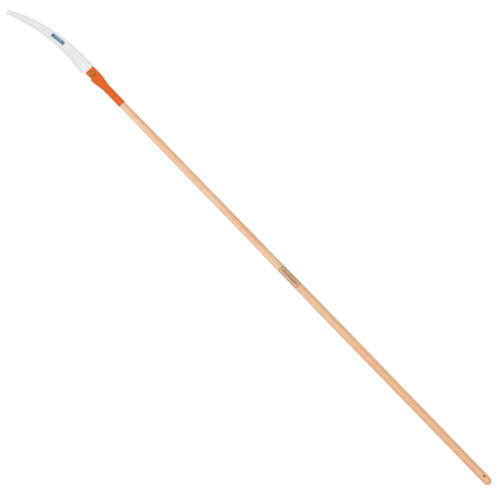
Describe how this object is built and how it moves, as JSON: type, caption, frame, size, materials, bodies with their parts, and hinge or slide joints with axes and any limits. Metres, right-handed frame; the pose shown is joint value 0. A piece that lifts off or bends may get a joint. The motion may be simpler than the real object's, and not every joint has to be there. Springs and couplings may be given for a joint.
{
  "type": "pole pruning saw",
  "caption": "Long-handled pruning saw: curved toothed steel blade bolted in the flattened mouth of an orange tube socket, on a tapered ash pole with a hang hole.",
  "frame": {"origin": "middle of the hang hole, on the pole's axis near the butt", "axes": "+X along the pole from the butt to the blade, +Y towards the toothed side of the blade, +Z square to the flat of the blade on the bolt head's side"},
  "size_m": [2.6028, 0.1036, 0.0354],
  "materials": {
    "ash_wood": "turned and clear lacquered",
    "socket_paint": "orange paint, on the socket and over its two screws",
    "blade_steel": "ground and lightly polished",
    "yellow_zinc": "yellow zinc plated",
    "blade_label_film": "blue film with plain white bars",
    "pole_label_film": "clear film with a brown frame and bars"
  },
  "bodies": {
    "saw": {"pole": "ash_wood", "head_socket": "socket_paint", "saw_blade": "blade_steel", "blade_bolt": "yellow_zinc", "head_washer": "yellow_zinc", "pole_screw_front": "socket_paint", "pole_screw_back": "socket_paint", "blade_label": "blade_label_film", "pole_label": "pole_label_film"},
    "nut_washers": {"nut_washer": "yellow_zinc", "spring_washer": "yellow_zinc"},
    "nut": {"blade_nut": "yellow_zinc"}
  },
  "joints": [
    {"name": "nut_travel", "type": "slide", "parent": "saw", "child": "nut_washers", "axis": [0, 0, -1], "range_m": [0, 0.0088]},
    {"name": "nut_spin", "type": "hinge", "parent": "nut_washers", "child": "nut", "pos_m": [2.1575, -0.003, -0.0091], "axis": [0, 0, -1], "range_deg": [0, 2520]}
  ],
  "couplings": [
    {"joint": "nut_travel", "follows": "nut_spin", "m_per_rad": 0.00019894}
  ]
}
